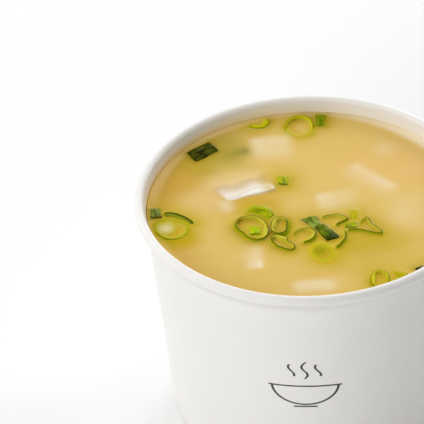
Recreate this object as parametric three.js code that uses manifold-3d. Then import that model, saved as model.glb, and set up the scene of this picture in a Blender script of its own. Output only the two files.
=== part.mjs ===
// Miso soup with tofu and spring onion in its paper soup cup.
// Millimetres, +Z up. The origin is the centre of the cup's base, on the surface it stands on.
import * as THREE from 'three';
import { mergeVertices } from 'three/addons/utils/BufferGeometryUtils.js';
import { RoundedBoxGeometry } from 'three/addons/geometries/RoundedBoxGeometry.js';
import Module from 'manifold-3d';

const wasm = await Module();
wasm.setup();

// ---------- driving dimensions ----------

const cupHeight = 65;
const rimRadius = 45; // outside of the rolled rim
const rimWidth = 2.5; // across the roll
const rimDepth = 3; // down the roll
const tuck = 0.3; // how far up under the roll the wall meets it
const baseRadius = 37.2; // outside of the wall where it stands
const shoulderRadius = 42.5; // outside of the wall just under the roll
const paper = 0.4; // thickness of the coated paper
const floorHeight = 8; // top of the recessed floor
const floorRound = 0.9; // bend from the floor into its skirt
const foldHeight = 6.4; // how far the wall's lower edge is turned up inside
const footRound = 0.25; // bend of the wall at the foot

const headroom = 4.3; // from the soup up to the rim's top
const brothRound = 0.9; // lower edge of the soup
const gap = 0.3; // between pieces that touch

const roundSteps = 72; // sides of everything turned about the cup's axis
const rollSteps = 13; // sides of the rim's roll
const bendSteps = 4; // sides of the floor's bend
const ringSteps = 20; // sides of an onion ring
const coreSteps = 14; // sides of the inner layers of a slice
const coreDrop = 0.1; // how much lower the inner layers stand than the wall round them
const weld = 1e-4; // corners nearer than this are one
const oneFace = 0.9999; // faces whose normals agree this well count as one
const steady = 1e-3; // holds a corner back along directions that no face asks for

const colours = {
  paper: 0xf3f2ef,
  broth: 0xd9b06a,
  tofu: 0xf1ead9,
  leafDark: 0x2f4d1c,
  leafBright: 0x86a81e,
  onionYellow: 0xb5b02a,
  onionPale: 0xd6cf8a,
};

// ---------- derived dimensions ----------

const degrees = Math.PI / 180;
const shoulderHeight = cupHeight - rimDepth;
const wallSlope = (shoulderRadius - baseRadius) / shoulderHeight;
const wallOutside = (z) => baseRadius + wallSlope * z;
const wallInside = (z) => wallOutside(z) - paper;
const soupLevel = cupHeight - headroom;

const paperRough = 0.55;
const brothRough = 0.15;
const finish = (color, roughness) => new THREE.MeshStandardMaterial({ color, roughness, metalness: 0 });

// ---------- turned pieces: cup and soup ----------

const arc = (r, z, radiusR, radiusZ, from, to, steps) =>
  Array.from({ length: steps + 1 }, (_, i) => {
    const a = (from + ((to - from) * i) / steps) * degrees;
    return new THREE.Vector2(r + radiusR * Math.cos(a), z + radiusZ * Math.sin(a));
  });

// A profile in (radius, height) turned about +Z.
const turned = (profile) => new THREE.LatheGeometry(profile, roundSteps).rotateX(Math.PI / 2);

// The wall: rolled rim on top, its lower edge folded up inside the foot.
function cupWall() {
  const rollStart = -112.5; // degrees: where the roll leaves the wall
  const slot = paper + 2 * gap; // room between wall and fold for the floor's skirt
  const foldOutside = (z) => wallInside(z) - slot;
  const foldInside = (z) => foldOutside(z) - paper;
  const rollR = rimRadius - rimWidth / 2;
  const rollZ = cupHeight - rimDepth / 2;
  const outline = [
    new THREE.Vector2(foldInside(0) + footRound, 0),
    new THREE.Vector2(baseRadius - footRound, 0),
    new THREE.Vector2(wallOutside(footRound), footRound),
    new THREE.Vector2(wallOutside(shoulderHeight + tuck), shoulderHeight + tuck),
    ...arc(rollR, rollZ, rimWidth / 2, rimDepth / 2, rollStart, 180, rollSteps),
    new THREE.Vector2(wallInside(shoulderHeight), shoulderHeight),
    new THREE.Vector2(wallInside(paper), paper),
    new THREE.Vector2(foldOutside(paper), paper),
    new THREE.Vector2(foldOutside(foldHeight), foldHeight),
    new THREE.Vector2(foldInside(foldHeight), foldHeight),
    new THREE.Vector2(foldInside(footRound), footRound),
  ];
  outline.push(outline[0].clone());
  return turned(outline);
}

// The floor: a disc whose edge turns down into the slot between wall and fold.
function cupFloor() {
  const skirtOutside = (z) => wallInside(z) - gap;
  const skirtInside = (z) => skirtOutside(z) - paper;
  const skirtFoot = paper + gap;
  const bendZ = floorHeight - floorRound;
  const bendR = skirtOutside(bendZ) - floorRound;
  const innerRound = floorRound - paper;
  return turned([
    new THREE.Vector2(0, floorHeight - paper),
    ...arc(bendR, bendZ, innerRound, innerRound, 90, 0, bendSteps - 1),
    new THREE.Vector2(skirtInside(skirtFoot), skirtFoot),
    new THREE.Vector2(skirtOutside(skirtFoot), skirtFoot),
    ...arc(bendR, bendZ, floorRound, floorRound, 0, 90, bendSteps),
    new THREE.Vector2(0, floorHeight),
  ]);
}

// The soup from the cup's floor up to its level.
function brothBody() {
  const bottom = floorHeight + gap;
  const edge = (z) => wallInside(z) - gap;
  return turned([
    new THREE.Vector2(0, bottom),
    new THREE.Vector2(edge(bottom) - brothRound, bottom),
    new THREE.Vector2(edge(bottom + brothRound), bottom + brothRound),
    new THREE.Vector2(edge(soupLevel), soupLevel),
    new THREE.Vector2(0, soupLevel),
  ]);
}

// ---------- spring onion ----------

// Each piece is one or two closed shapes, which are joined where they cross.

// A flat band between two outlines, standing as high as the slice is thick.
// Cut aslant, its upper cut stays where it is and its lower one lies off by the shear.
function standing(outer, inner, whole, { height, shear = [0, 0] }) {
  const shape = new THREE.Shape(whole ? outer : [...outer, ...inner.reverse()]);
  if (whole) shape.holes.push(new THREE.Path(inner));
  const slice = new THREE.ExtrudeGeometry(shape, { depth: height, bevelEnabled: false, steps: 1 });
  return slanted(slice.translate(0, 0, -height / 2), height, shear);
}

function slanted(slice, height, shear) {
  const corner = slice.attributes.position;
  for (let i = 0; i < corner.count; i += 1) {
    const below = 0.5 - corner.getZ(i) / height;
    corner.setX(i, corner.getX(i) + shear[0] * below);
    corner.setY(i, corner.getY(i) + shear[1] * below);
  }
  return slice;
}

// A whole slice across the hollow leaf or stem: its skin is a circle pressed out of round.
function ringSlice(ring) {
  const { radius, wall, height, core, shear = [0, 0], from = 0, to = 360 } = ring;
  const { oval = [0, 0], three = [0, 0], four = [0, 0], thick = [0, 0, 1] } = ring;
  const whole = to - from >= 360;
  const steps = whole ? ringSteps : Math.ceil((ringSteps * (to - from)) / 360);
  const wave = ([swing, turn], count, angle) => swing * Math.cos(count * (angle - turn) * degrees);
  const skin = (angle) => {
    const r = radius + wave(oval, 2, angle) + wave(three, 3, angle) + wave(four, 4, angle);
    return new THREE.Vector2(Math.cos(angle * degrees), Math.sin(angle * degrees)).multiplyScalar(r);
  };
  const [extra, middle, width] = thick;
  const depth = (angle) => {
    const away = THREE.MathUtils.euclideanModulo(angle - middle + 180, 360) - 180;
    return wall + extra * Math.exp(-((away / width) ** 2));
  };
  const side = (inset) =>
    Array.from({ length: whole ? steps : steps + 1 }, (_, i) => {
      const angle = from + ((to - from) * i) / steps;
      const along = skin(angle + 1).sub(skin(angle - 1)).normalize();
      return skin(angle).addScaledVector(new THREE.Vector2(-along.y, along.x), inset(angle));
    });
  const band = standing(side(() => 0), side(depth), whole, ring);
  if (!core) return [band];
  const disc = new THREE.CylinderGeometry(core.radius, core.radius, height - coreDrop, coreSteps);
  return [band, slanted(disc.rotateX(Math.PI / 2).translate(...core.at, 0), height, shear)];
}

// A slice that has been cut open and lies in its own line: the points are those of its skin.
function openSlice(slice) {
  const { points, wall, steps = 14 } = slice;
  const line = new THREE.SplineCurve(points.map(([x, y]) => new THREE.Vector2(x, y)));
  const side = (inset) =>
    Array.from({ length: steps + 1 }, (_, i) => {
      const along = line.getTangentAt(i / steps);
      return line.getPointAt(i / steps).addScaledVector(new THREE.Vector2(-along.y, along.x), inset);
    });
  return [standing(side(0), side(wall), false, slice)];
}

// A flat piece of leaf: curled across, bent in its plane, tapered, cut aslant at its start.
function leafPiece(leaf) {
  const { size: [length, width, thickness], curl = 0, bend = 0, taper = 0, slant = 0, steps = 4 } = leaf;
  const piece = new THREE.BoxGeometry(length, width, thickness, steps, 4, 1);
  const corner = piece.attributes.position;
  for (let i = 0; i < corner.count; i += 1) {
    const u = corner.getX(i) / length;
    const v = corner.getY(i) / width;
    corner.setXYZ(
      i,
      corner.getX(i) + slant * v * (0.5 - u),
      corner.getY(i) * (1 - taper * u) + bend * 4 * u * u,
      corner.getZ(i) - curl * 4 * v * v,
    );
  }
  return [piece];
}

// A strip of leaf with a crease: two stretches that fold over each other.
function creasedLeaf({ stretches }) {
  return stretches.map((stretch) => {
    const { geometry, matrixWorld } = moved(...leafPiece(stretch), stretch);
    return geometry.applyMatrix4(matrixWorld);
  });
}

const dark = { colour: colours.leafDark, rough: 0.45 };
const bright = { colour: colours.leafBright, rough: 0.4 };
const yellow = { colour: colours.onionYellow, rough: 0.4 };
const pale = { colour: colours.onionPale, rough: 0.4 };

// at: the middle of the upper cut seen from above. lift: the piece's middle over the soup's level.
// turn, then lean: degrees about +Z, then about the piece's own y and x.
// shear: where the lower cut of a slice cut aslant lies against its upper one.
// oval, three, four: how far the skin swings out of round, towards which angle.
// thick: where a wall has more layers: how much more, at which angle, over how many degrees.
const ringSlices = {
  ring_large: {
    ...bright, at: [-14.45, -9.3], lift: -0.15, lean: [1.5, 0], shear: [-0.3, -0.2],
    radius: 4.55, oval: [0.82, -60], three: [0.21, 46], wall: 0.5, thick: [0.9, -30, 32], height: 1.9,
  },
  ring_round: {
    ...bright, at: [-7.75, -9], lift: 0, lean: [0, 2], shear: [1.4, -0.1],
    radius: 2.9, oval: [0.76, 86], three: [0.06, -38], wall: 0.5, thick: [0.5, 140, 50], height: 1.9,
  },
  ring_boat: {
    ...bright, at: [-6.95, -15.85], lift: -0.2, lean: [2, 0], shear: [0, -0.4],
    radius: 2.7, oval: [0.94, -50], three: [0.22, -40], four: [0.29, -40],
    wall: 0.45, thick: [0.8, 80, 30], height: 1.7,
  },
  ring_open: {
    ...bright, at: [-1.2, -13.1], lift: -0.15, lean: [0, -2], shear: [0.1, -0.3],
    radius: 3, oval: [0.16, 47], wall: 0.5, thick: [0.9, -40, 50], height: 1.6, from: -100, to: 172,
  },
  ring_far: {
    ...yellow, at: [-1.75, 35.1], lift: -0.75, lean: [10, 0], shear: [0, -0.2],
    radius: 4.26, oval: [0.29, -82], three: [0.14, -54], wall: 0.7, height: 2.4,
  },
  ring_front: {
    ...yellow, at: [17.5, -32.25], lift: -0.25, lean: [1, 2], shear: [0, -0.3],
    radius: 2.95, oval: [0.5, 86], wall: 0.6, thick: [0.8, 180, 50], height: 1.7,
  },
  ring_sunken: {
    ...yellow, at: [3.3, -20], lift: -1, shear: [0.2, -0.4],
    radius: 3.6, oval: [0.5, -73], wall: 1.1, height: 2, core: { at: [-0.7, 0.5], radius: 2.3 },
  },
  slice_pale: {
    ...pale, at: [-35.6, -8.6], lift: -0.9, lean: [-1, 1], shear: [0.2, -0.4],
    radius: 4.6, oval: [0.32, -31], three: [0.19, 21],
    wall: 1.3, height: 2.2, core: { at: [-1.4, 0.4], radius: 2.5 },
  },
};

const openSlices = {
  loop_long: {
    ...bright, at: [6.8, -6.9], lift: -0.15, wall: 0.45, height: 1.5, shear: [0, -0.3],
    points: [
      [0.3, -2.4], [1.5, -1.2], [2.8, -0.4], [3.5, 0.5], [2.6, 1.4],
      [1.6, 2.2], [0.3, 2.6], [-1, 2.3], [-2.3, 2], [-3.5, 1.5],
    ],
  },
  loop_three_sided: {
    ...bright, at: [14.8, -10.7], lift: -0.15, wall: 0.45, height: 1.5, shear: [0.1, -0.4], steps: 20,
    points: [
      [-4.9, -0.8], [-4.3, -0.6], [-3, -0.6], [-1.2, -0.9], [0.3, -1.6], [1.8, -2.2], [3.6, -2.6], [4, -1.9],
      [3.6, -0.7], [2.7, 0.4], [1.7, 1.5], [1.2, 2.8], [0.7, 4.2], [0, 4.7], [-0.9, 3.6], [-1.7, 2.5],
    ],
  },
  arc_right: {
    ...bright, at: [7.9, -16], lift: -0.15, wall: 0.6, height: 1.6, shear: [0.4, -0.3],
    points: [[-1.1, -2.7], [-0.7, -2.5], [-0.1, -1.8], [0.5, -0.8], [1.3, 0.6], [1.6, 1.8], [1.6, 3], [1.4, 4.3]],
  },
  strip_left: {
    ...bright, at: [-33.4, -2.5], lift: -0.1, lean: [4, 0], wall: 1.4, height: 1.1, steps: 10,
    points: [[3.95, -4], [3.5, -3], [2.6, -1.9], [1.2, -0.6], [-0.4, 0.4], [-2, 1], [-3.3, 1.1], [-4.2, 0.7]],
  },
  crescent_far: {
    ...yellow, at: [-11.9, 36.5], lift: -0.1, lean: [3, 0], wall: 1.5, height: 1.1, steps: 8,
    points: [
      [-3.5, -0.4], [-3, -1.1], [-1.2, -1.6], [0.5, -1.4], [1.5, -0.5], [2.2, 0.6], [2.1, 1.8], [1.6, 2.7],
    ],
  },
};

const leafPieces = {
  leaf_roll_far: {
    ...dark, at: [-27.4, 25], lift: 0.25, turn: 38, lean: [6, 2],
    size: [7.6, 5.2, 1], curl: 0.5, slant: 0.6, steps: 6,
  },
  leaf_square_far: {
    ...dark, at: [3.95, 37.7], lift: 0, turn: 89, lean: [3, -4], size: [5.3, 2.7, 0.6], curl: 0.2,
  },
  chip_middle: {
    ...bright, at: [-6.3, 11.2], lift: 0.1, turn: 92, lean: [8, 4], size: [3.8, 2.9, 0.6], curl: 0.15, slant: 0.7,
  },
  chip_at_wall: {
    ...dark, at: [-39.7, -1.6], lift: 0.1, turn: 96, lean: [0, 5], size: [4.3, 2.8, 0.7], curl: 0.2,
  },
  chip_bright: {
    ...bright, at: [-13.8, -10.2], lift: -0.1, turn: 93, lean: [4, 8], size: [3.6, 2.7, 0.8], curl: 0.2,
  },
  leaf_curl: {
    ...bright, at: [-12, -1.9], lift: 0.15, turn: -32, lean: [10, 0],
    size: [6.9, 3.8, 0.7], curl: 0.4, bend: -1.5, steps: 8,
  },
  chip_right: {
    ...bright, at: [10.8, -8.85], lift: 0, turn: 8, lean: [-6, 0],
    size: [3, 2.5, 0.6], curl: 0.15, slant: 0.4, taper: -0.3,
  },
  chip_yellow: {
    ...yellow, at: [11.8, -4.3], lift: -0.15, turn: 92, lean: [3, 3], size: [3.9, 2.1, 0.6],
  },
  chip_front: {
    ...yellow, at: [23.1, -30.6], lift: -0.05, turn: -20, lean: [3, 0], size: [3, 2.2, 0.6], curl: 0.1, taper: 0.27, slant: -1.3,
  },
  chip_front_edge: {
    ...dark, at: [28.1, -28.2], lift: 0.1, turn: 30, lean: [0, 4], size: [2.6, 1.5, 0.5], curl: 0.1,
  },
};

const leafCreased = {
  ...dark, at: [2.8, -9.8], lift: 0.3,
  stretches: [
    {
      at: [-1.72, 2.28], lift: 0, turn: -61, lean: [6, 2],
      size: [4.65, 3.26, 0.6], curl: 0.25, taper: 0.63, slant: 1.6,
    },
    {
      at: [1.8, -2.1], lift: 0, turn: 123, lean: [4, -2],
      size: [6.7, 3.4, 0.6], curl: 0.25, taper: 0.4, slant: 0.8, steps: 6,
    },
  ],
};

// ---------- tofu ----------

// One cube has come up: its near top edge stands out of the soup and its top runs down under it.
const tofuCube = {
  colour: colours.tofu, rough: 0.5, at: [-17.6, 9], lift: -5.65, turn: 18, lean: [-11, -1.5],
  size: [17, 11, 10], round: 0.6, pinch: 4,
};

// It was cut out of square: its near left corner is pinched in.
function tofuBlock({ size: [length, width, height], round, pinch }) {
  const block = new RoundedBoxGeometry(length, width, height, 2, round);
  const corner = block.attributes.position;
  for (let i = 0; i < corner.count; i += 1) {
    const share = (0.5 - corner.getX(i) / length) * (0.5 - corner.getY(i) / width);
    corner.setX(i, corner.getX(i) + pinch * share);
  }
  return [block];
}

// ---------- placing and cutting ----------

function moved(geometry, { at, lift, turn = 0, lean = [0, 0] }, level = 0) {
  const mesh = new THREE.Mesh(geometry);
  mesh.position.set(at[0], at[1], level + lift);
  mesh.rotation.set(lean[0] * degrees, lean[1] * degrees, turn * degrees, 'ZYX');
  mesh.updateMatrixWorld();
  return mesh;
}

// The bare closed shape: corners and triangles alone, each corner once.
function welded(geometry) {
  const bare = geometry.clone();
  bare.deleteAttribute('normal');
  bare.deleteAttribute('uv');
  return mergeVertices(bare, weld);
}

// The same shape with every face moved out by the same distance.
function grown(geometry, distance) {
  const shape = welded(geometry);
  const corner = shape.attributes.position;
  const facesAt = Array.from({ length: corner.count }, () => []);
  const triangle = new THREE.Triangle();
  for (let i = 0; i < shape.index.count; i += 3) {
    const around = [0, 1, 2].map((k) => shape.index.getX(i + k));
    triangle.setFromAttributeAndIndices(corner, ...around);
    const normal = triangle.getNormal(new THREE.Vector3());
    for (const k of around) {
      if (facesAt[k].every((known) => known.dot(normal) < oneFace)) facesAt[k].push(normal);
    }
  }
  facesAt.forEach((normals, k) => {
    const planes = new THREE.Matrix3().multiplyScalar(steady);
    const step = new THREE.Vector3();
    for (const normal of normals) {
      const parts = normal.toArray();
      planes.elements.forEach((_, i) => {
        planes.elements[i] += parts[i % 3] * parts[Math.floor(i / 3)];
      });
      step.addScaledVector(normal, distance);
    }
    step.applyMatrix3(planes.invert());
    corner.setXYZ(k, corner.getX(k) + step.x, corner.getY(k) + step.y, corner.getZ(k) + step.z);
  });
  return shape;
}

// A closed shape as a solid that can be joined and cut.
function solidOf(geometry) {
  const shape = welded(geometry);
  return new wasm.Manifold(new wasm.Mesh({
    numProp: 3,
    vertProperties: shape.attributes.position.array,
    triVerts: Uint32Array.from(shape.index.array),
  }));
}

function geometryOf(solid) {
  const { vertProperties, triVerts } = solid.getMesh();
  const geometry = new THREE.BufferGeometry();
  geometry.setAttribute('position', new THREE.BufferAttribute(vertProperties, 3));
  geometry.setIndex(new THREE.BufferAttribute(triVerts, 1));
  geometry.computeVertexNormals();
  return geometry;
}

function joined(shapes) {
  if (shapes.length === 1) return shapes[0];
  const [first, second] = shapes.map(solidOf);
  return geometryOf(first.add(second));
}

// ---------- the whole ----------

const object = new THREE.Group();

function add(name, mesh, colour, roughness) {
  mesh.name = name;
  mesh.material = finish(colour, roughness);
  object.add(mesh);
}

add('cup_wall', new THREE.Mesh(cupWall()), colours.paper, paperRough);
add('cup_floor', new THREE.Mesh(cupFloor()), colours.paper, paperRough);

const makers = [[ringSlices, ringSlice], [openSlices, openSlice], [leafPieces, leafPiece]];
const floating = [
  ...makers.flatMap(([pieces, make]) =>
    Object.entries(pieces).map(([name, values]) => [`onion_${name}`, make, values])),
  ['onion_leaf_creased', creasedLeaf, leafCreased],
  ['tofu_cube', tofuBlock, tofuCube],
];

// Every piece lies in a pocket of the soup that clears it all round.
let broth = solidOf(brothBody());
for (const [name, make, values] of floating) {
  const shapes = make(values);
  add(name, moved(joined(shapes), values, soupLevel), values.colour, values.rough);
  const pocket = moved(joined(shapes.map((shape) => grown(shape, gap))), values, soupLevel);
  broth = broth.subtract(solidOf(pocket.geometry.clone().applyMatrix4(pocket.matrixWorld)));
}
const largest = broth.decompose().reduce((a, b) => (b.volume() > a.volume() ? b : a));
add('broth', new THREE.Mesh(geometryOf(largest)), colours.broth, brothRough);

export default object;
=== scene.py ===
# Miso soup with tofu and spring onion in a paper soup cup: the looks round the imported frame.
import math

import bmesh
import bpy
import numpy as np
from mathutils import Matrix, Vector, noise
from mathutils.bvhtree import BVHTree
from mathutils.kdtree import KDTree


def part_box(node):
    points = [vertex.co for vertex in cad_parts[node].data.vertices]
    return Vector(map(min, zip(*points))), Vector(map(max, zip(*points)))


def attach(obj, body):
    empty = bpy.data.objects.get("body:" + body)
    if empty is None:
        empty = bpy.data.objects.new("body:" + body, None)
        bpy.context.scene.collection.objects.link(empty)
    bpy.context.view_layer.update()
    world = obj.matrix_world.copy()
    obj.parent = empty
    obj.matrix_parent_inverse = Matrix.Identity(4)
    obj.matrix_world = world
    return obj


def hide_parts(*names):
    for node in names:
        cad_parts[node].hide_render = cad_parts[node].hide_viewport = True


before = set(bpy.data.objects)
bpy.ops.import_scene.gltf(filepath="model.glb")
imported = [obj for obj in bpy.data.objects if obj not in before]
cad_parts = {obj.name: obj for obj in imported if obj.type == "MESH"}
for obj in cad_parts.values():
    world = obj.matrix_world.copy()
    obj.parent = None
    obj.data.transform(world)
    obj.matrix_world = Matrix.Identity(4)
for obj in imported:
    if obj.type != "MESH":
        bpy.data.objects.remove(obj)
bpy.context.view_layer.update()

mm = 0.001  # every length below is in millimetres
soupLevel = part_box("broth")[1].z / mm
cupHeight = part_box("cup_wall")[1].z / mm
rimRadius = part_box("cup_wall")[1].x / mm


# materials: sockets that can be reckoned with
class Socket:
    def __init__(self, finish, plug):
        self.finish = finish
        self.plug = plug

    def __add__(self, other):
        return self.finish.value("ADD", self, other)

    def __sub__(self, other):
        return self.finish.value("SUBTRACT", self, other)

    def __rsub__(self, other):
        return self.finish.value("SUBTRACT", other, self)

    def __mul__(self, other):
        return self.finish.value("MULTIPLY", self, other)

    def __truediv__(self, other):
        return self.finish.value("DIVIDE", self, other)

    def __pow__(self, other):
        return self.finish.value("POWER", self, other)

    __radd__ = __add__
    __rmul__ = __mul__


class Finish:
    # a material: node() adds any node, the rest are short ways to the ones used most
    def __init__(self, name, **constants):
        self.material = bpy.data.materials.new(name)
        self.material.use_nodes = True
        self.tree = self.material.node_tree
        self.shader = self.tree.nodes["Principled BSDF"]
        self.set(**constants)

    def feed(self, inlet, value):
        if isinstance(value, Socket):
            self.tree.links.new(value.plug, inlet)
        elif value is not None:
            inlet.default_value = value

    def node(self, kind, settings=None, sockets=None, outlet=0):
        made = self.tree.nodes.new(kind)
        for label, value in (settings or {}).items():
            setattr(made, label, value)
        for label, value in (sockets or {}).items():
            self.feed(made.inputs[label], value)
        return Socket(self, made.outputs[outlet])

    def value(self, operation, first, second=None):
        return self.node("ShaderNodeMath", {"operation": operation}, {0: first, 1: second})

    def fade(self, value, start, end):  # 0 before start, 1 past end, smooth between
        sockets = {"Value": value, "From Min": start, "From Max": end}
        return self.node("ShaderNodeMapRange", {"interpolation_type": "SMOOTHSTEP"}, sockets)

    def mix(self, share, first, second):  # of two colours, which have sockets 6 and 7
        return self.node("ShaderNodeMix", {"data_type": "RGBA"}, {0: share, 6: first, 7: second}, outlet=2)

    def attribute(self, name, outlet=2):  # outlet: 0 colour, 1 vector, 2 number, 3 alpha
        return self.node("ShaderNodeAttribute", {"attribute_name": name}, outlet=outlet)

    def position(self):  # millimetres in the row frame
        place = self.node("ShaderNodeTexCoord", outlet=3)
        return self.node("ShaderNodeVectorMath", {"operation": "SCALE"}, {0: place, "Scale": 1 / mm})

    def axes(self, vector):
        return [self.node("ShaderNodeSeparateXYZ", None, {0: vector}, outlet=i) for i in range(3)]

    def noise(self, where, size, detail=2, roughness=0.5):  # size: millimetres from blotch to blotch
        sockets = {"Vector": where, "Scale": 1 / size, "Detail": detail, "Roughness": roughness}
        return self.node("ShaderNodeTexNoise", None, sockets)

    def set(self, **inputs):
        for label, value in inputs.items():
            self.feed(self.shader.inputs[label.replace("_", " ")], value)
        return self.material

    def dress(self, tone, height, uneven, look):
        # its colour, its relief in millimetres, and a roughness that grows with uneven
        sockets = {"Height": height, "Distance": look["relief"] * mm, "Strength": look["bump"]}
        relief = self.node("ShaderNodeBump", None, sockets)
        return self.set(Base_Color=tone, Normal=relief, Roughness=look["rough"] + uneven * look["rougher"])


def colour(red, green, blue):  # from 0 to 255, as a screen shows it
    straight = []
    for share in (red / 255, green / 255, blue / 255):
        straight.append(share / 12.92 if share <= 0.04045 else ((share + 0.055) / 1.055) ** 2.4)
    return (*straight, 1)


def tones(**numbers):  # several colours by name
    return {label: colour(*value) for label, value in numbers.items()}


def ramped(values, start, end):  # 0 before start, 1 past end
    return np.clip((values - start) / (end - start), 0, 1)


def eased(share):
    return share * share * (3 - 2 * share)


# meshes
attributeKinds = {1: ("FLOAT", "value"), 3: ("FLOAT_VECTOR", "vector"), 4: ("FLOAT_COLOR", "color")}


def makeObject(name, corners, faces, material, values=None):
    mesh = bpy.data.meshes.new(name)
    mesh.from_pydata((np.asarray(corners, float) * mm).tolist(), [], faces)
    for label, numbers in (values or {}).items():
        numbers = np.asarray(numbers, np.float32)
        kind, field = attributeKinds[numbers.size // len(numbers)]
        mesh.attributes.new(label, kind, "POINT").data.foreach_set(field, numbers.ravel())
    shell = bmesh.new()
    shell.from_mesh(mesh)
    bmesh.ops.recalc_face_normals(shell, faces=shell.faces)
    shell.to_mesh(mesh)
    shell.free()
    mesh.shade_smooth()
    mesh.materials.append(material)
    made = bpy.data.objects.new(name, mesh)
    bpy.context.scene.collection.objects.link(made)
    return made


def makePiece(name, corners, faces, material, slotName, nodes=(), values=None):
    piece = makeObject(name, corners, faces, material, values)
    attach(piece, "root")
    if nodes:
        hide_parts(*nodes)
    return piece


def stripFaces(rows, columns, rowsClose=False, columnsClose=True, capped=False):
    faces = []
    for i in range(rows if rowsClose else rows - 1):
        for j in range(columns if columnsClose else columns - 1):
            a, b = i * columns + j, i * columns + (j + 1) % columns
            c = (i + 1) % rows * columns
            faces.append((a, b, c + (j + 1) % columns, c + j))
    if capped:
        faces += [tuple(range(columns)), tuple(range((rows - 1) * columns, rows * columns))]
    return faces


def turned(profile, steps, wobble=None):
    # profile: (radius, height) pairs turned about the cup's axis; on the axis it starts and ends in a point
    angles = np.arange(steps) * math.tau / steps
    onAxis = [radius < 1e-6 for radius, _ in profile]
    corners, rows = [], []
    for (radius, height), point in zip(profile, onAxis):
        rows.append(range(len(corners), len(corners) + (1 if point else steps)))
        for angle in angles[:1] if point else angles:
            dr, dz = wobble(angle, height) if wobble and not point else (0, 0)
            corners.append(((radius + dr) * math.cos(angle), (radius + dr) * math.sin(angle), height + dz))
    faces = []
    closes = not (onAxis[0] or onAxis[-1])
    for i in range(len(rows) if closes else len(rows) - 1):
        low, high = rows[i], rows[(i + 1) % len(rows)]
        for j in range(steps):
            k = (j + 1) % steps
            ring = [low[j % len(low)], low[k % len(low)], high[k % len(high)], high[j % len(high)]]
            faces.append(tuple(dict.fromkeys(ring)))
    return corners, faces


def arc(r, z, radiusR, radiusZ, start, end, steps):
    angles = np.radians(np.linspace(start, end, steps + 1))
    return [(r + radiusR * math.cos(a), z + radiusZ * math.sin(a)) for a in angles]


def outward(corners, faces):
    # the faces of a closed mesh all turned to look out of it
    points = np.asarray(corners, float)
    points = points - points.mean(axis=0)
    a, b, c = (points[[face[k] for face in faces]] for k in range(3))
    return faces if np.sum(a * np.cross(b, c)) > 0 else [face[::-1] for face in faces]


def placed(points, piece, lift=None):
    # lift: over the soup. lean: degrees about the piece's own x and y, then turn about +Z
    leanX, leanY = piece.get("lean", (0, 0))
    spin = Matrix.Identity(3)
    for degrees, axis in ((piece.get("turn", 0), "Z"), (leanY, "Y"), (leanX, "X")):
        spin = spin @ Matrix.Rotation(math.radians(degrees), 3, axis)
    lift = piece["lift"] if lift is None else lift
    return np.asarray(points, float) @ np.array(spin).T + (*piece["at"], soupLevel + lift)


noiseSeed = 1
noise.seed_set(noiseSeed)  # without it Blender takes the clock, and each run comes out a little different


def unevenness(points, size, depth, seed):
    # smooth random shifts, the same each time
    away = Vector((seed * 7.31, seed * 3.17, seed * 1.73))
    return np.array([noise.noise_vector(Vector(p) / size + away) for p in points]) * depth


# camera, light and floor
camera = {
    "place": (0, -832.891, 679.735),
    "turn": (1.7232, 53.3447, -2.6760),  # degrees: pan, tilt, roll
    "lens": 339.48,
    "sensor": 36,
}
lights = {  # place and width in metres, and the light on a facing sheet
    "topLight": ((-0.15, 0.25, 1.3), 1.0, 0.408),
    "keyLight": ((-1.1, -0.45, 0.75), 0.7, 0.197),
    "leftBackLight": ((-0.9, 0.9, 0.8), 0.7, 0.341),
    "backLight": ((0.3, 1.2, 0.45), 0.6, 0.336),
    "rightLight": ((0.9, 0.6, 0.45), 0.5, 0.377),
    "frontLight": ((-0.6, -1.2, 0.5), 0.7, 0.388),
}
white = (1, 1, 1, 1)
room = {"skyStrength": 0.1, "floorTone": 0.86, "floorGlow": 0.02, "floorSize": 6000, "floorRoughness": 0.9}


def makeCamera():
    data = bpy.data.cameras.new("camera")
    data.lens = camera["lens"]
    data.sensor_width = camera["sensor"]
    pan, tilt, roll = (math.radians(angle) for angle in camera["turn"])
    turn = Matrix.Rotation(pan, 4, "Z") @ Matrix.Rotation(tilt, 4, "X") @ Matrix.Rotation(roll, 4, "Z")
    body = bpy.data.objects.new("camera", data)
    body.matrix_world = Matrix.Translation(Vector(camera["place"]) * mm) @ turn
    bpy.context.scene.collection.objects.link(body)
    bpy.context.scene.camera = body


def makeLights():
    target = Vector((0, 0, cupHeight * mm))
    for name, (place, width, glow) in lights.items():
        data = bpy.data.lights.new(name, "AREA")
        data.shape = "DISK"
        data.size = width
        towards = target - Vector(place)
        data.energy = glow * math.pi ** 2 * towards.length ** 2
        body = bpy.data.objects.new(name, data)
        body.location = place
        body.rotation_mode = "QUATERNION"
        body.rotation_quaternion = towards.to_track_quat("-Z", "Y")
        bpy.context.scene.collection.objects.link(body)
    world = bpy.data.worlds.new("room")
    world.use_nodes = True
    sky = world.node_tree.nodes["Background"]
    sky.inputs["Color"].default_value = white
    sky.inputs["Strength"].default_value = room["skyStrength"]
    bpy.context.scene.world = world
    bpy.context.scene.view_settings.view_transform = "Standard"


def makeFloor():
    half = room["floorSize"] / 2
    tone = (*[room["floorTone"]] * 3, 1)
    paint = Finish("floorPaint", Base_Color=tone, Roughness=room["floorRoughness"])
    paint.set(Emission_Color=white, Emission_Strength=room["floorGlow"])
    corners = [(-half, -half, 0), (half, -half, 0), (half, half, 0), (-half, half, 0)]
    makeObject("floor", corners, [(0, 1, 2, 3)], paint.material)


makeCamera()
makeLights()
makeFloor()
print("camera, light and floor are in place")


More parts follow.
